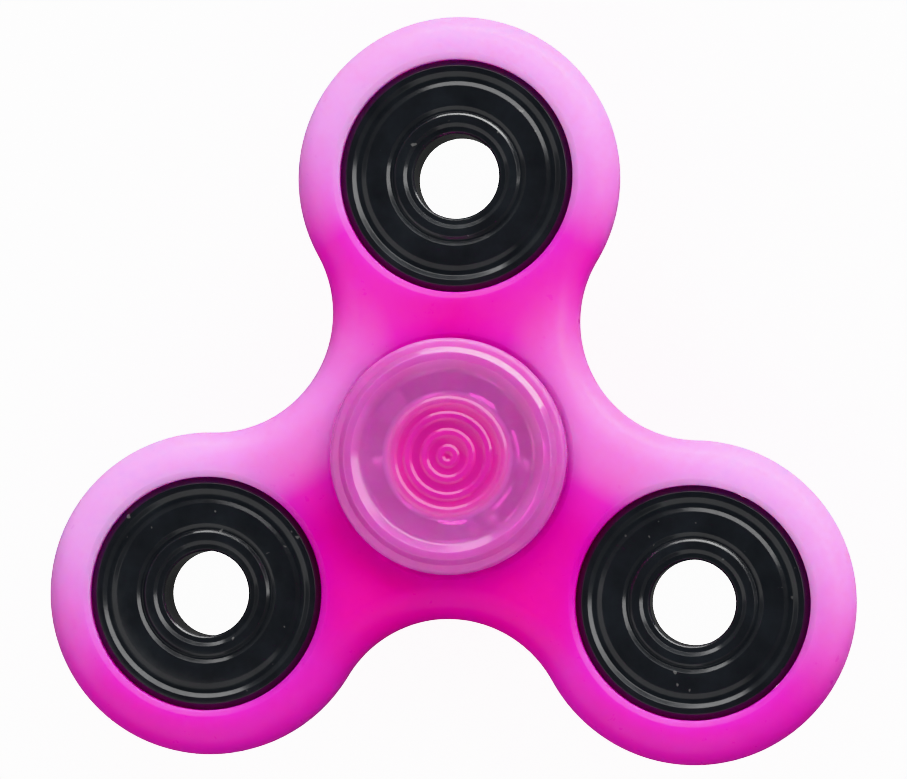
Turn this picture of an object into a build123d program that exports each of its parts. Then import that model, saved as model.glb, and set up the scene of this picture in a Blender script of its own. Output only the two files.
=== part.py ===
from build123d import *
import os
from math import cos, radians, sin

# Three-lobed fidget spinner, lying flat. The origin is the middle of the centre bearing,
# the spin axis is Z, one lobe points along +Y. Millimetres and degrees throughout.

# Standard 608 ball bearing: 8 mm bore, 22 mm outside, 7 mm wide, seven balls.
BEARING_BORE = 8.0
BEARING_OD = 22.0
BEARING_WIDTH = 7.0
BALL_COUNT = 7
BALL_DIAMETER = 3.969
BALL_PHASE = 90.0
RACE_GAP = 0.02
GROOVE_CONFORMITY = 0.52
INNER_SHOULDER_RADIUS = 6.05
INNER_FACE_RADIUS = 5.75
OUTER_SHOULDER_RADIUS = 8.95
OUTER_FACE_RADIUS = 9.6
SHIELD_SEAT_DEPTH = 0.9
RACE_CHAMFER = 0.3

# Riveted ribbon cage that spaces the balls.
CAGE_SHEET = 0.35
CAGE_INNER_RADIUS = 6.45
CAGE_OUTER_RADIUS = 8.55
CAGE_POCKET_GAP = 0.08
RIVET_SHANK_RADIUS = 0.3
RIVET_HEAD_RADIUS = 0.52
RIVET_HEAD_HEIGHT = 0.24

# Moulded body: lobes and waists are arcs whose centres all lie ARM_RADIUS from the axis.
LOBE_ANGLES = {"top": 90.0, "left": 210.0, "right": 330.0}
LOBE_STEP = 120.0
ARM_RADIUS = 26.5
LOBE_RADIUS = 15.3
BODY_THICKNESS = 8.0
EDGE_ROUND = 3.3
MOUTH_WIDTH = 0.6
MOUTH_DEPTH = 0.3

# Counterweight rings: turned to look like a bearing, pressed into the lobes. A wide groove
# parts the outer land from the web, a narrow one parts the web from the hub, and the hub
# steps down to the mouth of the bore. Depths are below the land.
RING_EDGE = 0.6
RING_LAND_INSIDE = 9.85
RING_GROOVE_OUTSIDE = 9.4
RING_GROOVE_INSIDE = 8.95
RING_GROOVE_DEPTH = 0.3
RING_WEB_OUTSIDE = 8.5
RING_WEB_INSIDE = 6.6
RING_WEB_DEPTH = 0.1
RING_SLOT_OUTSIDE = 6.25
RING_SLOT_INSIDE = 6.05
RING_SLOT_DEPTH = 0.35
RING_HUB_RADIUS = 5.75
RING_STEP_OUTSIDE = 5.0
RING_STEP_INSIDE = 4.65
RING_STEP_DEPTH = 0.35
RING_BORE_CHAMFER = 0.2
RING_LAND_ROUND = 0.15
RING_GROOVE_ROUND = 0.3
RING_HUB_ROUND = 0.1
RING_BORE_ROUND = 0.08

# Finger caps: a dished button, with ridges round its centre, on a hollow stem that is
# pressed into the inner race. Drops are below the crest.
CAP_RADIUS = 11.1
CAP_CLEARANCE = 0.3
CAP_HEIGHT = 3.0
CAP_SHOULDER_RADIUS = 5.6
CAP_RIM_DROP = 0.7
CAP_FLANGE_RADIUS = 10.2
CAP_FLANGE_DROP = 0.5
CAP_CREST_OUTSIDE = 9.7
CAP_CREST_INSIDE = 9.0
CAP_DISH_RADIUS = 8.1
CAP_DISH_DROP = 0.6
CAP_CENTRE_DROP = 0.95
CAP_RIDGE_RADII = (5.2, 3.8, 2.2, 0.7)
CAP_RIDGE_HEIGHT = 0.14
CAP_RIDGE_FOOT = 0.45
CAP_RIDGE_TOP = 0.2
CAP_RIM_ROUND = 0.6
CAP_CREST_ROUND = 0.2
CAP_DISH_ROUND = 0.6
CAP_UNDERSIDE_ROUND = 0.3
STEM_GAP = 0.05
STEM_LEAD_IN = 0.3
STEM_HOLLOW_RADIUS = 2.8
STEM_ROOF = 3.2

# Worked out from the sizes above.
bore_radius = BEARING_BORE / 2
pocket_radius = BEARING_OD / 2
race_face = BEARING_WIDTH / 2
body_face = BODY_THICKNESS / 2
pitch_radius = (BEARING_BORE + BEARING_OD) / 4
ball_radius = BALL_DIAMETER / 2
ball_step = 360.0 / BALL_COUNT
groove_radius = GROOVE_CONFORMITY * BALL_DIAMETER
waist_radius = ARM_RADIUS - LOBE_RADIUS


def polar(radius, angle):
    """The point at this radius and angle about the spin axis, at mid-height."""
    return Vector(radius * cos(radians(angle)), radius * sin(radians(angle)), 0)


def turned(corners):
    """A body of revolution about Z. A corner is (radius, height) or (radius, height, rounding)."""
    face = make_face(Polyline(*[corner[:2] for corner in corners], close=True))
    for corner in corners:
        if len(corner) == 3:
            vertex = face.vertices().sort_by_distance(corner[:2])[0]
            face = fillet(vertex, corner[2])
    return revolve(Plane.XZ * face, Axis.Z)


def both_sides(upper):
    """The corners of a section that is the same above and below z = 0, from its upper ones."""
    return upper + [(radius, -height, *rest) for radius, height, *rest in reversed(upper)]


def body_outline():
    """Six tangent arcs, a lobe and a waist in turn, whose centres make a regular hexagon."""
    arcs = []
    reach = LOBE_RADIUS / ARM_RADIUS
    for angle in LOBE_ANGLES.values():
        lobe = polar(ARM_RADIUS, angle)
        waist_before = polar(ARM_RADIUS, angle - LOBE_STEP / 2)
        waist_after = polar(ARM_RADIUS, angle + LOBE_STEP / 2)
        next_lobe = polar(ARM_RADIUS, angle + LOBE_STEP)
        start = lobe + (waist_before - lobe) * reach
        end = lobe + (waist_after - lobe) * reach
        next_start = next_lobe + (waist_after - next_lobe) * reach
        lobe_tip = polar(ARM_RADIUS + LOBE_RADIUS, angle)
        waist_middle = polar(ARM_RADIUS - waist_radius, angle + LOBE_STEP / 2)
        arcs.append(ThreePointArc(start, lobe_tip, end))
        arcs.append(ThreePointArc(end, waist_middle, next_start))
    return make_face(arcs)


def pocket(centre):
    """A through pocket for the bearing or a ring, with a bevelled mouth on both faces."""
    upper = [
        (0, body_face),
        (pocket_radius + MOUTH_WIDTH, body_face),
        (pocket_radius, body_face - MOUTH_DEPTH),
    ]
    return Pos(centre) * turned(both_sides(upper))


def spinner_body():
    """The moulding: rounded all along its outside, with a pocket in the middle and each lobe."""
    blank = extrude(body_outline(), amount=body_face, both=True)
    faces = blank.faces().sort_by(Axis.Z)
    body = fillet(faces[0].edges() + faces[-1].edges(), EDGE_ROUND)
    body -= pocket(Vector(0, 0, 0))
    for angle in LOBE_ANGLES.values():
        body -= pocket(polar(ARM_RADIUS, angle))
    return body


def counterweight(angle):
    """A solid ring with the lands, web and hub of a bearing turned into both faces."""
    web = race_face - RING_WEB_DEPTH
    groove = race_face - RING_GROOVE_DEPTH
    slot = race_face - RING_SLOT_DEPTH
    step = race_face - RING_STEP_DEPTH
    upper = [
        (pocket_radius, race_face - RING_EDGE, RING_LAND_ROUND),
        (pocket_radius - RING_EDGE, race_face, RING_LAND_ROUND),
        (RING_LAND_INSIDE, race_face, RING_LAND_ROUND),
        (RING_GROOVE_OUTSIDE, groove, RING_GROOVE_ROUND),
        (RING_GROOVE_INSIDE, groove, RING_GROOVE_ROUND),
        (RING_WEB_OUTSIDE, web, RING_GROOVE_ROUND),
        (RING_WEB_INSIDE, web, RING_HUB_ROUND),
        (RING_SLOT_OUTSIDE, slot, RING_HUB_ROUND),
        (RING_SLOT_INSIDE, slot, RING_HUB_ROUND),
        (RING_HUB_RADIUS, web, RING_HUB_ROUND),
        (RING_STEP_OUTSIDE, web, RING_HUB_ROUND),
        (RING_STEP_INSIDE, step, RING_HUB_ROUND),
        (bore_radius + RING_BORE_CHAMFER, step, RING_BORE_ROUND),
        (bore_radius, step - RING_BORE_CHAMFER),
    ]
    return Pos(polar(ARM_RADIUS, angle)) * turned(both_sides(upper))


def outer_race():
    """The outer ring: shield seats at both faces and a groove that the balls run in."""
    seat = race_face - SHIELD_SEAT_DEPTH
    upper = [
        (pocket_radius, race_face - RACE_CHAMFER),
        (pocket_radius - RACE_CHAMFER, race_face),
        (OUTER_FACE_RADIUS + RACE_CHAMFER / 2, race_face),
        (OUTER_FACE_RADIUS, race_face - RACE_CHAMFER / 2),
        (OUTER_FACE_RADIUS, seat),
        (OUTER_SHOULDER_RADIUS, seat),
    ]
    groove_centre = pitch_radius + ball_radius + RACE_GAP - groove_radius
    return turned(both_sides(upper)) - Torus(groove_centre, groove_radius)


def inner_race():
    """The inner ring, whose bore takes the stems of the two caps."""
    seat = race_face - SHIELD_SEAT_DEPTH
    upper = [
        (INNER_SHOULDER_RADIUS, seat),
        (INNER_FACE_RADIUS, seat),
        (INNER_FACE_RADIUS, race_face - RACE_CHAMFER / 2),
        (INNER_FACE_RADIUS - RACE_CHAMFER / 2, race_face),
        (bore_radius + RACE_CHAMFER, race_face),
        (bore_radius, race_face - RACE_CHAMFER),
    ]
    groove_centre = pitch_radius - ball_radius - RACE_GAP + groove_radius
    return turned(both_sides(upper)) - Torus(groove_centre, groove_radius)


def ball_centre(index):
    """The first ball is on the +Y side. A half index is half-way between two balls."""
    return polar(pitch_radius, BALL_PHASE + index * ball_step)


def ball(index):
    return Pos(ball_centre(index)) * Sphere(ball_radius)


def cage_half(side):
    """One pressed half of the ribbon cage: flat webs joined by a strip over each ball."""
    pocket_inside = ball_radius + CAGE_POCKET_GAP
    pocket_outside = pocket_inside + CAGE_SHEET
    on_middle = (Align.CENTER, Align.CENTER, Align.MIN)
    half = Cylinder(CAGE_OUTER_RADIUS, CAGE_SHEET, align=on_middle)
    for index in range(BALL_COUNT):
        half += Pos(ball_centre(index)) * Sphere(pocket_outside)
    half &= Cylinder(CAGE_OUTER_RADIUS, pocket_outside, align=on_middle)
    half -= Cylinder(CAGE_INNER_RADIUS, pocket_outside, align=on_middle)
    for index in range(BALL_COUNT):
        half -= Pos(ball_centre(index)) * Sphere(pocket_inside)
        half -= Pos(ball_centre(index + 0.5)) * Cylinder(RIVET_SHANK_RADIUS, 4 * CAGE_SHEET)
    return half if side > 0 else mirror(half, about=Plane.XY)


def cage_rivet(index):
    """A shank through both webs, with a low domed head on each side."""
    dome_radius = (RIVET_HEAD_RADIUS**2 + RIVET_HEAD_HEIGHT**2) / (2 * RIVET_HEAD_HEIGHT)
    dome = Pos(0, 0, CAGE_SHEET + RIVET_HEAD_HEIGHT - dome_radius) * Sphere(dome_radius)
    above_web = Pos(0, 0, CAGE_SHEET + dome_radius) * Box(
        2 * dome_radius, 2 * dome_radius, 2 * dome_radius
    )
    head = dome & above_web
    shank = Cylinder(RIVET_SHANK_RADIUS, 2 * CAGE_SHEET)
    return Pos(ball_centre(index + 0.5)) * (shank + head + mirror(head, about=Plane.XY))


def cap_ridges(centre, dish_edge):
    """Corners of the ridges on the dish's sloping floor, from the outermost one inwards."""
    corners = []
    for radius in CAP_RIDGE_RADII:
        floor = centre + (dish_edge - centre) * radius / CAP_DISH_RADIUS
        top = floor + CAP_RIDGE_HEIGHT
        corners.append((radius + CAP_RIDGE_FOOT, floor))
        corners.append((radius + CAP_RIDGE_TOP, top))
        corners.append((radius - CAP_RIDGE_TOP, top))
        corners.append((radius - CAP_RIDGE_FOOT, floor))
    return corners


def finger_cap(side):
    """One moulding: stem, shoulder on the inner race, disc clear of the body, dished top."""
    underside = body_face + CAP_CLEARANCE
    crest = underside + CAP_HEIGHT
    dish_edge = crest - CAP_DISH_DROP
    centre = crest - CAP_CENTRE_DROP
    roof = centre - STEM_ROOF
    cap = turned(
        [
            (0, roof),
            (STEM_HOLLOW_RADIUS, roof),
            (STEM_HOLLOW_RADIUS, STEM_GAP),
            (bore_radius - STEM_LEAD_IN, STEM_GAP),
            (bore_radius, STEM_GAP + STEM_LEAD_IN),
            (bore_radius, race_face),
            (CAP_SHOULDER_RADIUS, race_face),
            (CAP_SHOULDER_RADIUS, underside),
            (CAP_RADIUS, underside, CAP_UNDERSIDE_ROUND),
            (CAP_RADIUS, crest - CAP_RIM_DROP, CAP_RIM_ROUND),
            (CAP_FLANGE_RADIUS, crest - CAP_FLANGE_DROP, CAP_CREST_ROUND),
            (CAP_CREST_OUTSIDE, crest, CAP_CREST_ROUND),
            (CAP_CREST_INSIDE, crest, CAP_CREST_ROUND),
            (CAP_DISH_RADIUS, dish_edge, CAP_DISH_ROUND),
            *cap_ridges(centre, dish_edge),
            (0, centre),
        ]
    )
    return cap if side > 0 else mirror(cap, about=Plane.XY)


def pieces():
    """Every separate piece of the spinner, by its node's name."""
    nodes = {"spinner_body": spinner_body()}
    for name, angle in LOBE_ANGLES.items():
        nodes[f"counterweight_{name}"] = counterweight(angle)
    nodes["bearing_outer_race"] = outer_race()
    nodes["bearing_inner_race"] = inner_race()
    nodes["cage_upper"] = cage_half(+1)
    nodes["cage_lower"] = cage_half(-1)
    for index in range(BALL_COUNT):
        nodes[f"ball_{index + 1}"] = ball(index)
        nodes[f"cage_rivet_{index + 1}"] = cage_rivet(index)
    nodes["top_cap"] = finger_cap(+1)
    nodes["bottom_cap"] = finger_cap(-1)
    return nodes


os.makedirs("parts", exist_ok=True)
for node, solid in pieces().items():
    export_step(solid, f"parts/{node}.step")
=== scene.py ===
import math

import bmesh
import bpy
from mathutils import Matrix, Vector
from mathutils.geometry import delaunay_2d_cdt


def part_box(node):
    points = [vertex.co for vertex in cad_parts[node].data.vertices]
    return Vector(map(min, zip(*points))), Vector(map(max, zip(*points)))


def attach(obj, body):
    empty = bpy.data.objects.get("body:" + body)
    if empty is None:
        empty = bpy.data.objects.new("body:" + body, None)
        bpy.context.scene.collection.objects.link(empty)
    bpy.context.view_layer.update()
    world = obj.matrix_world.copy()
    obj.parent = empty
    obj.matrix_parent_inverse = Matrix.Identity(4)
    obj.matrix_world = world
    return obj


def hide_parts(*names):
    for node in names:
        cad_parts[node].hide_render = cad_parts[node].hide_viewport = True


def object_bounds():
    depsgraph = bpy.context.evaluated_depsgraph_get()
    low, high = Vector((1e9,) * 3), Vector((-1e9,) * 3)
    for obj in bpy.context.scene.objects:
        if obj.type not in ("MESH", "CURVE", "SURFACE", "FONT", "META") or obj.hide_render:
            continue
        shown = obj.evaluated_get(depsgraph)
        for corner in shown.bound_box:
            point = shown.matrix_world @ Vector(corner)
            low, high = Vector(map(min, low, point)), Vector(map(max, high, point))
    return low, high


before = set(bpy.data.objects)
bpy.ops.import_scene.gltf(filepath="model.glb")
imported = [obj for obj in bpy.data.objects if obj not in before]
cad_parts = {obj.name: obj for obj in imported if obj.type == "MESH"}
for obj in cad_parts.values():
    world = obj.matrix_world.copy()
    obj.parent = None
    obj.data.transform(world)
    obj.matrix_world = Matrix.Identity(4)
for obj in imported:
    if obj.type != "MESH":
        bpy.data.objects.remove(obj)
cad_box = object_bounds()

# Everything is in metres. The origin is the middle of the centre bearing and +Z is the spin axis.
MM = 0.001

# Sizes read from the frame.
_, body_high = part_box("spinner_body")
_, race_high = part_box("bearing_outer_race")
_, cap_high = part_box("top_cap")
ring_low, ring_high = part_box("counterweight_top")
BODY_FACE = body_high.z
RACE_FACE = race_high.z
POCKET_RADIUS = race_high.x
ARM_RADIUS = (ring_low.y + ring_high.y) / 2
LOBE_RADIUS = body_high.y - ARM_RADIUS
WAIST_RADIUS = ARM_RADIUS - LOBE_RADIUS
CAP_RADIUS = cap_high.x
CAP_CREST = cap_high.z
FLOOR_HEIGHT = cad_box[0][2]

# Shapes that the frame's boxes don't give.
LOBES = {"top": 90.0, "left": 210.0, "right": 330.0}
BORE_RADIUS = 4.0 * MM
FIT_GAP = 0.01 * MM
EDGE_ROUND = 3.3 * MM
MOUTH_WIDTH = 0.6 * MM
MOUTH_DEPTH = 0.3 * MM
MOUTH_ROUND = 0.25 * MM
MOUTH_RADIUS = POCKET_RADIUS + MOUTH_WIDTH

# A counterweight's section, from its outside to its bore. Depths are below the land.
RING_EDGE = 0.6 * MM
RING_LAND_INSIDE = 9.85 * MM
RING_GROOVE_OUTSIDE = 9.4 * MM
RING_GROOVE_INSIDE = 8.95 * MM
RING_GROOVE_DEPTH = 0.3 * MM
RING_WEB_OUTSIDE = 8.5 * MM
RING_WEB_INSIDE = 6.6 * MM
RING_WEB_DEPTH = 0.1 * MM
RING_SLOT_OUTSIDE = 6.25 * MM
RING_SLOT_INSIDE = 6.05 * MM
RING_SLOT_DEPTH = 0.35 * MM
RING_HUB_RADIUS = 5.75 * MM
RING_STEP_OUTSIDE = 5.0 * MM
RING_STEP_INSIDE = 4.65 * MM
RING_BORE_CHAMFER = 0.2 * MM
RING_LAND_ROUND = 0.15 * MM
RING_GROOVE_ROUND = 0.3 * MM
RING_HUB_ROUND = 0.1 * MM
RING_BORE_ROUND = 0.08 * MM

# A finger cap's section. Drops are below the crest.
CAP_UNDERSIDE = BODY_FACE + 0.3 * MM
CAP_SHOULDER_RADIUS = 5.6 * MM
CAP_RIM_DROP = 0.7 * MM
CAP_FLANGE_RADIUS = 10.2 * MM
CAP_FLANGE_DROP = 0.5 * MM
CAP_CREST_OUTSIDE = 9.7 * MM
CAP_CREST_INSIDE = 9.0 * MM
CAP_DISH_RADIUS = 8.1 * MM
CAP_DISH_EDGE = CAP_CREST - 0.6 * MM
CAP_CENTRE = CAP_CREST - 0.95 * MM
CAP_RIDGE_RADII = (5.2 * MM, 3.8 * MM, 2.2 * MM, 0.7 * MM)
CAP_RIDGE_HEIGHT = 0.14 * MM
CAP_RIDGE_FOOT = 0.45 * MM
CAP_RIDGE_TOP = 0.2 * MM
STEM_GAP = 0.05 * MM
STEM_LEAD_IN = 0.3 * MM
STEM_HOLLOW_RADIUS = 2.8 * MM
STEM_ROOF = CAP_CENTRE - 3.2 * MM
CAP_RIM_ROUND = 0.6 * MM
CAP_CREST_ROUND = 0.2 * MM
CAP_DISH_ROUND = 1.2 * MM
CAP_RIDGE_ROUND = 0.1 * MM
CAP_UNDERSIDE_ROUND = 0.3 * MM
CAP_CORNER_ROUND = 0.2 * MM
CAP_SHOULDER_ROUND = 0.08 * MM
STEM_ROUND = 0.05 * MM
STEM_MOUTH_ROUND = 0.1 * MM
STEM_ROOF_ROUND = 0.4 * MM

# How finely the meshes are cut and shaded.
TURN_STEPS = 192
CAP_TURN_STEPS = 256
ARC_STEP = math.radians(9.0)
LOBE_STEPS = 168
WAIST_STEPS = 60
FLAT_INSET = 0.04 * MM
MOUTH_FLAT = 0.15 * MM
GRID = 0.9 * MM
GRID_ROW = 0.866
GRID_CLEARANCE = 0.6 * GRID
MERGE_DISTANCE = 1e-6
TRIANGLE_EPSILON = 1e-7
AXIS_EPSILON = 1e-9
SHARP_ANGLE = math.radians(32.0)
CAD_SHARP_ANGLE = math.radians(30.0)
FACE_AREA_WEIGHT = 90

# Where the body is pale: ranges of radius, of depth below the outline, and of how far a wall
# faces +Y, and the most that a waist and the least that a lobe can be. The walls that face +Y
# are painted paler: painted light from that side.
PALE_RADII = (15.0 * MM, 28.0 * MM)
PALE_DEPTHS = (3.0 * MM, 13.0 * MM)
PAINTED_LIGHT_FACING = (-1.0, 0.8)
WAIST_MOST_PALE = 0.75
LOBE_LEAST_PALE = 0.3

# The studio. A softbox has its azimuth and elevation in degrees and its power in watts.
FLOOR_REACH = 4.0
FLOOR_GLOW = 3.0
ROOM_LIGHT = 0.45
SOFTBOXES = {
    "rim_softbox": {"azimuth": 72.0, "elevation": 9.0, "distance": 0.6, "size": (1.0, 0.15), "power": 6.0},
    "key_softbox": {"azimuth": 60.0, "elevation": 42.0, "distance": 0.5, "size": (1.4, 0.16), "power": 3.2},
    "fill_softbox": {"azimuth": 235.0, "elevation": 45.0, "distance": 0.6, "size": (1.2, 0.8), "power": 2.6},
}

# The camera's place when it looks straight down, and the small turn of the spinner below it.
CAMERA_OFFSET = (-0.05 * MM, 6.46 * MM)
CAMERA_DISTANCE = 0.45
CAMERA_TURN = Vector((math.radians(-2.07), math.radians(-5.35), math.radians(-0.98)))
CAMERA_LENS = 188.7
CAMERA_SENSOR = 36.0
CAMERA_CLIP_START = 0.01


# ---------------------------------------------------------------- plan of the body


def polar(radius, degrees, height=0.0):
    """The point at this radius, angle and height about the spin axis."""
    angle = math.radians(degrees)
    return Vector((radius * math.cos(angle), radius * math.sin(angle), height))


lobe_centres = {name: polar(ARM_RADIUS, angle) for name, angle in LOBES.items()}
waist_centres = [polar(ARM_RADIUS, angle + 60.0) for angle in LOBES.values()]
pocket_centres = [Vector((0, 0, 0)), *lobe_centres.values()]


def circle(centre, radius, steps):
    """Points evenly spaced round a circle."""
    return [centre + polar(radius, 360.0 * step / steps) for step in range(steps)]


def outline(inset):
    """The body's outline, moved inwards: six tangent arcs about the corners of a hexagon."""
    points = []
    for angle in LOBES.values():
        lobe = polar(ARM_RADIUS, angle)
        waist = polar(ARM_RADIUS, angle + 60.0)
        for step in range(LOBE_STEPS):
            turn = angle - 120.0 + 240.0 * step / LOBE_STEPS
            points.append(lobe + polar(LOBE_RADIUS - inset, turn))
        for step in range(WAIST_STEPS):
            turn = angle - 60.0 - 120.0 * step / WAIST_STEPS
            points.append(waist + polar(WAIST_RADIUS + inset, turn))
    return points


def beyond_hexagon(flat):
    """Whether a point is outside the hexagon whose corners are the centres of the arcs."""
    apothem = ARM_RADIUS * math.cos(math.radians(30.0))
    return any(abs(flat.dot(polar(1.0, turn))) > apothem for turn in (0.0, 60.0, 120.0))


def nearest(flat, centres):
    """The one of these centres that a point is nearest to."""
    return min(centres, key=lambda centre: (flat - centre).length)


def edge_distance(point):
    """How far a point inside the body's outline is from that outline."""
    flat = Vector((point.x, point.y, 0))
    if beyond_hexagon(flat):
        return LOBE_RADIUS - (flat - nearest(flat, lobe_centres.values())).length
    return (flat - nearest(flat, waist_centres)).length - WAIST_RADIUS


def outward_way(point):
    """The direction from a point of the body to the nearest part of the outline."""
    flat = Vector((point.x, point.y, 0))
    if beyond_hexagon(flat):
        return (flat - nearest(flat, lobe_centres.values())).normalized()
    return (nearest(flat, waist_centres) - flat).normalized()


def pocket_distance(flat):
    """How far a point is from the middle of the nearest pocket."""
    return (flat - nearest(flat, pocket_centres)).length


# ---------------------------------------------------------------- meshes


def rounded_section(corners):
    """Points of a closed section. A corner is (radius, height) or (radius, height, rounding)."""
    points = []
    count = len(corners)
    for index, corner in enumerate(corners):
        here = Vector(corner[:2])
        rounding = corner[2] if len(corner) == 3 else 0.0
        if rounding <= 0:
            points.append(here)
            continue
        back = (Vector(corners[index - 1][:2]) - here).normalized()
        ahead = (Vector(corners[(index + 1) % count][:2]) - here).normalized()
        half = back.angle(ahead) / 2
        centre = here + (back + ahead).normalized() * (rounding / math.sin(half))
        first = here + back * (rounding / math.tan(half)) - centre
        sweep = math.pi - 2 * half
        if back.cross(ahead) > 0:
            sweep = -sweep
        steps = max(2, math.ceil(abs(sweep) / ARC_STEP))
        for step in range(steps + 1):
            points.append(centre + Matrix.Rotation(sweep * step / steps, 2) @ first)
    return points


def upside_down(corners):
    """A section's corners with every height turned over."""
    return [(radius, -height, *rest) for radius, height, *rest in corners]


def both_sides(upper):
    """The corners of a section that is the same above and below z = 0, from its upper ones."""
    return upper + upside_down(reversed(upper))


def mesh_object(name, vertices, faces):
    """A new smooth-shaded object. Broad faces keep their own normals beside narrow roundings."""
    mesh = bpy.data.meshes.new(name)
    mesh.from_pydata(vertices, [], faces)
    mesh.validate()
    mesh.polygons.foreach_set("use_smooth", [True] * len(mesh.polygons))
    mesh.set_sharp_from_angle(angle=SHARP_ANGLE)
    mesh.update()
    piece = bpy.data.objects.new(name, mesh)
    bpy.context.scene.collection.objects.link(piece)
    weighted = piece.modifiers.new("broad faces", "WEIGHTED_NORMAL")
    weighted.keep_sharp = True
    weighted.weight = FACE_AREA_WEIGHT
    return piece


def weld(piece):
    """Joins the loops that strips and flat faces share."""
    work = bmesh.new()
    work.from_mesh(piece.data)
    bmesh.ops.remove_doubles(work, verts=work.verts, dist=MERGE_DISTANCE)
    loose = [v for v in work.verts if not v.link_faces]
    bmesh.ops.delete(work, geom=loose, context="VERTS")
    work.to_mesh(piece.data)
    work.free()


def outward(piece):
    """Turns the faces of a closed piece to point out of it."""
    work = bmesh.new()
    work.from_mesh(piece.data)
    bmesh.ops.recalc_face_normals(work, faces=work.faces)
    work.to_mesh(piece.data)
    work.free()
    return piece


def turned(name, corners, centre=Vector((0, 0, 0)), steps=TURN_STEPS):
    """A closed body of revolution about a vertical line through centre."""
    vertices, rows = [], []
    for radius, height in rounded_section(corners):
        on_axis = radius < AXIS_EPSILON
        rows.append((len(vertices), on_axis))
        for step in range(1 if on_axis else steps):
            turn = 2 * math.pi * step / steps
            spoke = Vector((radius * math.cos(turn), radius * math.sin(turn), height))
            vertices.append(centre + spoke)
    faces = []
    for (row, row_on_axis), (above, above_on_axis) in zip(rows, rows[1:] + rows[:1]):
        if row_on_axis and above_on_axis:
            continue
        for step in range(steps):
            after = (step + 1) % steps
            low = [row] if row_on_axis else [row + step, row + after]
            high = [above] if above_on_axis else [above + after, above + step]
            faces.append(low + high)
    return outward(mesh_object(name, vertices, faces))


def add_strip(vertices, faces, loops):
    """Adds the faces between each closed loop and the next one."""
    count = len(loops[0])
    first = len(vertices)
    for loop in loops:
        vertices.extend(loop)
    for row in range(len(loops) - 1):
        for step in range(count):
            after = (step + 1) % count
            base = first + row * count
            faces.append((base + step, base + after, base + count + after, base + count + step))


def raised(loop, height):
    """The same loop at this height."""
    lift = Vector((0, 0, height))
    return [point + lift for point in loop]


def flat_face(loops):
    """Triangles of the flat top between the outline and the pocket mouths."""
    points = [Vector(p[:2]) for loop in loops for p in loop]
    edges, first = [], 0
    for loop in loops:
        count = len(loop)
        edges += [(first + step, first + (step + 1) % count) for step in range(count)]
        first += count
    across = int(body_high.x / GRID) + 2
    for column in range(-across, across + 1):
        for row in range(-across, across + 1):
            spot = Vector((GRID * (column + 0.5 * (row % 2)), GRID * row * GRID_ROW, 0))
            if edge_distance(spot) < EDGE_ROUND + GRID_CLEARANCE:
                continue
            if pocket_distance(spot) < MOUTH_RADIUS + GRID_CLEARANCE:
                continue
            points.append(Vector(spot[:2]))
    found = delaunay_2d_cdt(points, edges, [], 0, TRIANGLE_EPSILON)
    triangles = []
    for face in found[2]:
        middle = sum((found[0][corner] for corner in face), Vector((0, 0))) / len(face)
        middle = Vector((middle.x, middle.y, 0))
        if edge_distance(middle) < EDGE_ROUND + FLAT_INSET:
            continue
        if pocket_distance(middle) < MOUTH_RADIUS + MOUTH_FLAT:
            continue
        triangles.append(face)
    return found[0], triangles


def body_piece():
    """The moulding: rounded outside, flat faces, and four pockets with bevelled mouths."""
    vertices, faces = [], []
    # Each section is closed by its last edge, which lies inside the body and isn't swept.
    side = both_sides([(EDGE_ROUND + FLAT_INSET, BODY_FACE), (0.0, BODY_FACE, EDGE_ROUND)])
    add_strip(vertices, faces, [raised(outline(inset), z) for inset, z in rounded_section(side)])
    wall = both_sides(
        [
            (MOUTH_RADIUS + MOUTH_FLAT, BODY_FACE),
            (MOUTH_RADIUS, BODY_FACE, MOUTH_ROUND),
            (POCKET_RADIUS, BODY_FACE - MOUTH_DEPTH, MOUTH_ROUND),
        ]
    )
    for centre in pocket_centres:
        section = rounded_section(wall)
        rings = [raised(circle(centre, radius, TURN_STEPS), z) for radius, z in section]
        add_strip(vertices, faces, rings)
    loops = [outline(EDGE_ROUND + FLAT_INSET)]
    loops += [circle(centre, MOUTH_RADIUS + MOUTH_FLAT, TURN_STEPS) for centre in pocket_centres]
    flat, triangles = flat_face(loops)
    for height in (BODY_FACE, -BODY_FACE):
        first = len(vertices)
        vertices.extend(Vector((p.x, p.y, height)) for p in flat)
        faces.extend(tuple(first + corner for corner in face) for face in triangles)
    piece = mesh_object("moulded_body", vertices, faces)
    weld(piece)
    return outward(piece)


def ring_corners():
    """A counterweight's section: land, wide groove, web, narrow groove, hub and bore mouth."""
    outside = POCKET_RADIUS - FIT_GAP
    web = RACE_FACE - RING_WEB_DEPTH
    groove = RACE_FACE - RING_GROOVE_DEPTH
    slot = RACE_FACE - RING_SLOT_DEPTH
    return both_sides(
        [
            (outside, RACE_FACE - RING_EDGE, RING_LAND_ROUND),
            (outside - RING_EDGE, RACE_FACE, RING_LAND_ROUND),
            (RING_LAND_INSIDE, RACE_FACE, RING_LAND_ROUND),
            (RING_GROOVE_OUTSIDE, groove, RING_GROOVE_ROUND),
            (RING_GROOVE_INSIDE, groove, RING_GROOVE_ROUND),
            (RING_WEB_OUTSIDE, web, RING_GROOVE_ROUND),
            (RING_WEB_INSIDE, web, RING_HUB_ROUND),
            (RING_SLOT_OUTSIDE, slot, RING_HUB_ROUND),
            (RING_SLOT_INSIDE, slot, RING_HUB_ROUND),
            (RING_HUB_RADIUS, web, RING_HUB_ROUND),
            (RING_STEP_OUTSIDE, web, RING_HUB_ROUND),
            (RING_STEP_INSIDE, slot, RING_HUB_ROUND),
            (BORE_RADIUS + RING_BORE_CHAMFER, slot, RING_BORE_ROUND),
            (BORE_RADIUS, slot - RING_BORE_CHAMFER, RING_BORE_ROUND),
        ]
    )


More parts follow.
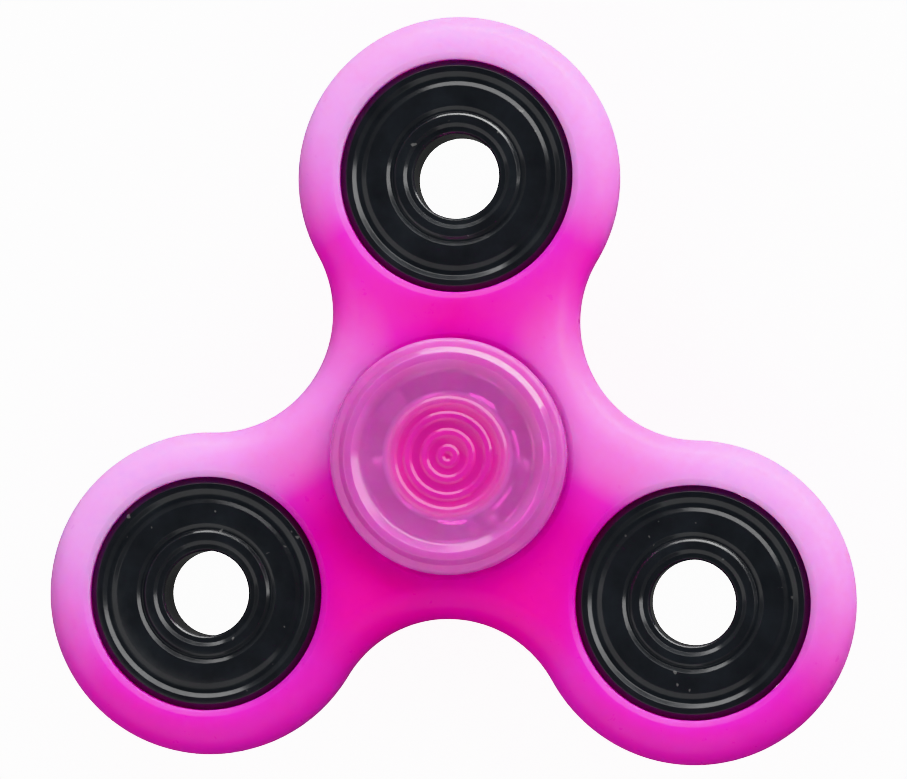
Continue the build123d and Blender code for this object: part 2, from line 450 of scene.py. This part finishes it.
def cap_ridges():
    """Corners of the ridges on the dish's sloping floor, from the outermost one inwards."""
    corners = []
    for radius in CAP_RIDGE_RADII:
        floor = CAP_CENTRE + (CAP_DISH_EDGE - CAP_CENTRE) * radius / CAP_DISH_RADIUS
        top = floor + CAP_RIDGE_HEIGHT
        corners += [
            (radius + CAP_RIDGE_FOOT, floor, CAP_RIDGE_ROUND),
            (radius + CAP_RIDGE_TOP, top, CAP_RIDGE_ROUND),
            (radius - CAP_RIDGE_TOP, top, CAP_RIDGE_ROUND),
            (radius - CAP_RIDGE_FOOT, floor, CAP_RIDGE_ROUND),
        ]
    return corners


def cap_corners():
    """The top cap's section: hollow stem, shoulder, disc and dished top, all one moulding."""
    stem = BORE_RADIUS - FIT_GAP
    seat = RACE_FACE + FIT_GAP
    return [
        (0.0, STEM_ROOF),
        (STEM_HOLLOW_RADIUS, STEM_ROOF, STEM_ROOF_ROUND),
        (STEM_HOLLOW_RADIUS, STEM_GAP, STEM_MOUTH_ROUND),
        (BORE_RADIUS - STEM_LEAD_IN, STEM_GAP, STEM_ROUND),
        (stem, STEM_GAP + STEM_LEAD_IN, STEM_ROUND),
        (stem, seat, STEM_ROUND),
        (CAP_SHOULDER_RADIUS, seat, CAP_SHOULDER_ROUND),
        (CAP_SHOULDER_RADIUS, CAP_UNDERSIDE, CAP_CORNER_ROUND),
        (CAP_RADIUS, CAP_UNDERSIDE, CAP_UNDERSIDE_ROUND),
        (CAP_RADIUS, CAP_CREST - CAP_RIM_DROP, CAP_RIM_ROUND),
        (CAP_FLANGE_RADIUS, CAP_CREST - CAP_FLANGE_DROP, CAP_CREST_ROUND),
        (CAP_CREST_OUTSIDE, CAP_CREST, CAP_CREST_ROUND),
        (CAP_CREST_INSIDE, CAP_CREST, CAP_CREST_ROUND),
        (CAP_DISH_RADIUS, CAP_DISH_EDGE, CAP_DISH_ROUND),
        *cap_ridges(),
        (0.0, CAP_CENTRE),
    ]


# ---------------------------------------------------------------- materials


def plug(tree, target, inputs):
    """Gives each named input of a node another node's output, or else a plain value."""
    for key, value in inputs.items():
        if isinstance(value, bpy.types.NodeSocket):
            tree.links.new(value, target.inputs[key])
        else:
            target.inputs[key].default_value = value


def node(tree, kind, inputs, **settings):
    """A new node with these inputs and settings."""
    made = tree.nodes.new(kind)
    for key, value in settings.items():
        setattr(made, key, value)
    plug(tree, made, inputs)
    return made


def new_material(name):
    """A new material, its node tree and its Principled shader."""
    material = bpy.data.materials.new(name)
    material.use_nodes = True
    return material, material.node_tree, material.node_tree.nodes["Principled BSDF"]


def object_place(tree):
    """The shaded point in the object's own coordinates, so a pattern rides on its piece."""
    return node(tree, "ShaderNodeTexCoord", {}).outputs["Object"]


def noise(tree, place, scale, detail=3.0, roughness=0.5):
    """A noise between 0 and 1 with this many features to a metre."""
    inputs = {"Vector": place, "Scale": scale, "Detail": detail, "Roughness": roughness}
    return node(tree, "ShaderNodeTexNoise", inputs).outputs["Fac"]


def ramp(tree, value, stops):
    """A colour ramp from (position, colour) stops. A grey is a single number."""
    made = node(tree, "ShaderNodeValToRGB", {"Fac": value})
    elements = made.color_ramp.elements
    while len(elements) < len(stops):
        elements.new(1.0)
    for element, (position, colour) in zip(elements, stops):
        if not isinstance(colour, tuple):
            colour = (colour, colour, colour)
        element.position = position
        element.color = (*colour, 1.0)
    return made.outputs["Color"]


def mix(tree, factor, first, second, blend="MIX"):
    """Two colours mixed by this factor."""
    inputs = {0: factor, 6: first, 7: second}
    made = node(tree, "ShaderNodeMix", inputs, data_type="RGBA", blend_type=blend)
    return made.outputs[2]


def clouded(tree, colour, clouds):
    """A colour that is a little darker wherever this noise is low."""
    shade = ramp(tree, clouds, [(0.35, 0.93), (0.65, 1.0)])
    return mix(tree, 1.0, colour, shade, "MULTIPLY")


def bump(tree, height, strength, distance):
    """The normal of a surface with this small relief."""
    inputs = {"Height": height, "Strength": strength, "Distance": distance}
    return node(tree, "ShaderNodeBump", inputs).outputs["Normal"]


def body_plastic():
    """Translucent magenta moulding: deep where it is thick, paler in the thin outer walls, and painted paler
    still on the walls that face +Y, a painted light.
    """
    material, tree, shader = new_material("translucent_magenta")
    place = object_place(tree)
    # The 'pale' attribute is partly painted light: the walls that face +Y are painted paler.
    walls = node(tree, "ShaderNodeAttribute", {}, attribute_name="pale").outputs["Fac"]
    deep, middle, pale = (0.95, 0.006, 0.42), (0.96, 0.05, 0.56), (0.98, 0.42, 0.88)
    dye_and_painted_light = ramp(tree, walls, [(0.0, deep), (0.35, middle), (1.0, pale)])
    flow = noise(tree, place, 120.0, 4.0)
    scuff = noise(tree, place, 900.0, 5.0, 0.6)
    ripple = noise(tree, place, 160.0, 2.0)
    inputs = {
        "Base Color": clouded(tree, dye_and_painted_light, flow),
        "Subsurface Weight": 1.0,
        "Subsurface Radius": (1.0, 0.5, 0.7),
        "Subsurface Scale": 7.0 * MM,
        "IOR": 1.5,
        "Specular IOR Level": 0.3,
        "Roughness": ramp(tree, scuff, [(0.3, 0.27), (0.7, 0.34)]),
        "Normal": bump(tree, ripple, 0.25, 0.05 * MM),
    }
    plug(tree, shader, inputs)
    return material


def ring_black():
    """Gloss black coating on cast iron: slight orange peel and a few dull specks."""
    material, tree, shader = new_material("gloss_black_coating")
    place = object_place(tree)
    dark, light, bare = (0.024, 0.025, 0.027), (0.032, 0.034, 0.037), (0.12, 0.12, 0.12, 1.0)
    coat = ramp(tree, noise(tree, place, 300.0), [(0.3, dark), (0.7, light)])
    specks = ramp(tree, noise(tree, place, 1000.0, 1.0), [(0.76, 0.0), (0.8, 1.0)])
    scuff = noise(tree, place, 1400.0, 4.0, 0.65)
    peel = noise(tree, place, 700.0, 2.0)
    inputs = {
        "Base Color": mix(tree, specks, coat, bare),
        "IOR": 1.5,
        "Roughness": ramp(tree, scuff, [(0.3, 0.1), (0.75, 0.2)]),
        "Normal": bump(tree, peel, 0.15, 0.03 * MM),
    }
    plug(tree, shader, inputs)
    return material


def cap_plastic():
    """Pink moulding: cloudy and ringed over the stem, clear round it, hazier in the flange. The rings are
    painted shade: the grooves between the stem's ridges are painted darker than the ridge tops.
    """
    material, tree, shader = new_material("cloudy_pink_plastic")
    place = object_place(tree)
    level = node(tree, "ShaderNodeVectorMath", {0: place, 1: (1, 1, 0)}, operation="MULTIPLY")
    flat = level.outputs["Vector"]
    radius = node(tree, "ShaderNodeVectorMath", {0: flat}, operation="LENGTH").outputs["Value"]
    # The ramps run over this radius. Their stops are radii in millimetres.
    reach = 11.0
    inputs = {"Value": radius, "From Max": reach * MM}
    outwards = node(tree, "ShaderNodeMapRange", inputs).outputs["Result"]

    def radial(stops):
        return ramp(tree, outwards, [(stop / reach, value) for stop, value in stops])

    # Painted shade: the groove tint is darker than the ridge tint, so the grooves between the ridges look
    # shaded.
    groove, ridge = (0.82, 0.058, 0.46), (0.88, 0.08, 0.52)
    shoulder, dish, flange = (0.93, 0.16, 0.60), (1.0, 0.32, 0.84), (1.0, 0.28, 0.80)
    tints = [(0.1, groove), (0.7, ridge), (1.3, groove), (2.2, ridge), (3.0, groove)]
    tints += [(3.8, ridge), (4.4, ridge), (5.2, shoulder), (6.0, dish), (8.2, dish), (9.0, flange)]
    swirl = noise(tree, place, 200.0, 4.0)
    haze = noise(tree, place, 500.0, 4.0, 0.6)
    ripple = noise(tree, place, 150.0, 2.0)
    inputs = {
        "Base Color": clouded(tree, radial(tints), swirl),
        "Transmission Weight": radial([(4.0, 0.3), (5.6, 0.4), (6.2, 0.7), (8.2, 0.7), (9.0, 0.6)]),
        "Subsurface Weight": 1.0,
        "Subsurface Radius": (1.0, 0.4, 0.8),
        "Subsurface Scale": 2.0 * MM,
        "IOR": 1.49,
        "Roughness": ramp(tree, haze, [(0.35, 0.06), (0.7, 0.13)]),
        "Normal": bump(tree, ripple, 0.2, 0.04 * MM),
    }
    plug(tree, shader, inputs)
    return material


def steel(name, light, dark, rough, turned_finish=False):
    """Bearing steel, with patches of two greys. A turned finish is fine rings about the axis."""
    material, tree, shader = new_material(name)
    place = object_place(tree)
    stain = noise(tree, place, 400.0, 4.0)
    smear = noise(tree, place, 1100.0, 4.0, 0.6)
    inputs = {
        "Base Color": ramp(tree, stain, [(0.3, dark), (0.7, light)]),
        "Metallic": 1.0,
        "Roughness": ramp(tree, smear, [(0.3, rough * 0.7), (0.7, rough * 1.3)]),
    }
    if turned_finish:
        wave = node(
            tree,
            "ShaderNodeTexWave",
            {"Vector": place, "Scale": 900.0, "Distortion": 1.5, "Detail": 3.0},
            wave_type="RINGS",
            rings_direction="Z",
        ).outputs["Fac"]
        inputs["Normal"] = bump(tree, wave, 0.3, 0.01 * MM)
    plug(tree, shader, inputs)
    return material


# ---------------------------------------------------------------- the object


def finish_piece(piece, material, body, node_name):
    """Gives a piece its material and body, and the place of the CAD node that it stands for."""
    piece.data.materials.clear()
    piece.data.materials.append(material)
    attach(piece, body)
    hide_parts(node_name)


def smooth_step(value, low, high):
    """0 below low, 1 above high, and a smooth rise between them."""
    part = min(max((value - low) / (high - low), 0.0), 1.0)
    return part * part * (3 - 2 * part)


def paleness(point):
    """1 in the outer walls of the lobes, less at the waists, and 0 in the thick middle.

    The walls that face +Y are painted the palest: painted light, as if lit from +Y.
    """
    outwards = smooth_step(math.hypot(point.x, point.y), *PALE_RADII)
    inwards = smooth_step(max(edge_distance(point), 0.0), *PALE_DEPTHS)
    # Painted light: the more a wall faces +Y, the paler it is painted.
    painted_light_facing = smooth_step(outward_way(point).y, *PAINTED_LIGHT_FACING)
    waist = WAIST_MOST_PALE * painted_light_facing
    lobe = LOBE_LEAST_PALE + (1.0 - LOBE_LEAST_PALE) * painted_light_facing
    return (1.0 - inwards) * (waist + (lobe - waist) * outwards)


def add_body(material):
    piece = body_piece()
    pale = piece.data.attributes.new("pale", "FLOAT", "POINT")
    pale.data.foreach_set("value", [paleness(vertex.co) for vertex in piece.data.vertices])
    finish_piece(piece, material, "rotor", "spinner_body")


def add_counterweights(material):
    for name, centre in lobe_centres.items():
        piece = turned(f"coated_ring_{name}", ring_corners(), centre)
        finish_piece(piece, material, "rotor", f"counterweight_{name}")


def add_caps(material):
    sections = {"top_cap": cap_corners(), "bottom_cap": upside_down(cap_corners())}
    for name, corners in sections.items():
        piece = turned(f"clear_{name}", corners, steps=CAP_TURN_STEPS)
        finish_piece(piece, material, "hub", name)


def dress_bearing():
    """Gives the bearing's CAD nodes their steels and smooth shading."""
    race = steel("ground_race_steel", (0.90, 0.90, 0.92), (0.82, 0.82, 0.84), 0.5, True)
    balls = steel("polished_ball_steel", (0.82, 0.82, 0.84), (0.74, 0.74, 0.77), 0.07)
    cage = steel("pressed_cage_steel", (0.75, 0.73, 0.7), (0.6, 0.58, 0.55), 0.45)
    steels = {"bearing": race, "ball": balls, "cage": cage}
    for name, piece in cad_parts.items():
        kind = name.split("_")[0]
        if kind not in steels:
            continue
        mesh = piece.data
        mesh.materials.clear()
        mesh.materials.append(steels[kind])
        mesh.polygons.foreach_set("use_smooth", [True] * len(mesh.polygons))
        mesh.set_sharp_from_angle(angle=CAD_SHARP_ANGLE)


# ---------------------------------------------------------------- the studio


def add_floor():
    """A pale, softly lit table that the bottom cap stands on."""
    mesh = bpy.data.meshes.new("studio_floor")
    low, high = -FLOOR_REACH, FLOOR_REACH
    corners = [(low, low), (high, low), (high, high), (low, high)]
    mesh.from_pydata([(x, y, FLOOR_HEIGHT) for x, y in corners], [], [(0, 1, 2, 3)])
    floor = bpy.data.objects.new("studio_floor", mesh)
    bpy.context.scene.collection.objects.link(floor)
    material, tree, shader = new_material("lit_white_table")
    inputs = {
        "Base Color": (0.9, 0.9, 0.9, 1.0),
        "Roughness": 0.9,
        "Specular IOR Level": 0.0,
        "Emission Color": (1.0, 1.0, 1.0, 1.0),
        "Emission Strength": FLOOR_GLOW,
    }
    plug(tree, shader, inputs)
    mesh.materials.append(material)
    floor.visible_diffuse = False
    floor.visible_glossy = False


def add_softbox(name, azimuth, elevation, distance, size, power):
    """A softbox of this width and height, level and aimed at the spinner."""
    data = bpy.data.lights.new(name, "AREA")
    data.shape = "RECTANGLE"
    data.size, data.size_y = size
    data.energy = power
    lamp = bpy.data.objects.new(name, data)
    height = math.sin(math.radians(elevation))
    way = polar(math.cos(math.radians(elevation)), azimuth, height)
    lamp.location = distance * way
    lamp.rotation_euler = (-way).to_track_quat("-Z", "Y").to_euler()
    bpy.context.scene.collection.objects.link(lamp)


def add_room():
    """A softly lit room that is dark overhead and below."""
    world = bpy.data.worlds.new("soft_room")
    world.use_nodes = True
    tree = world.node_tree
    way = node(tree, "ShaderNodeTexCoord", {}).outputs["Generated"]
    height = node(tree, "ShaderNodeSeparateXYZ", {"Vector": way}).outputs["Z"]
    light = ramp(tree, height, [(0.0, 0.25), (0.1, 1.0), (0.6, 1.0), (0.95, 0.3)])
    plug(tree, tree.nodes["Background"], {"Color": light, "Strength": ROOM_LIGHT})
    bpy.context.scene.world = world


def add_camera():
    """Almost straight above, leaning a few degrees to the right."""
    data = bpy.data.cameras.new("camera")
    data.lens = CAMERA_LENS
    data.sensor_width = CAMERA_SENSOR
    data.clip_start = CAMERA_CLIP_START
    camera = bpy.data.objects.new("camera", data)
    turn = Matrix.Rotation(CAMERA_TURN.length, 4, CAMERA_TURN.normalized())
    place = Matrix.Translation((*CAMERA_OFFSET, CAMERA_DISTANCE))
    camera.matrix_world = turn.inverted() @ place
    bpy.context.scene.collection.objects.link(camera)
    bpy.context.scene.camera = camera


add_camera()
add_body(body_plastic())
add_counterweights(ring_black())
add_caps(cap_plastic())
dress_bearing()
add_floor()
for name, settings in SOFTBOXES.items():
    add_softbox(name, **settings)
add_room()
bpy.context.scene.view_settings.view_transform = "Khronos PBR Neutral"
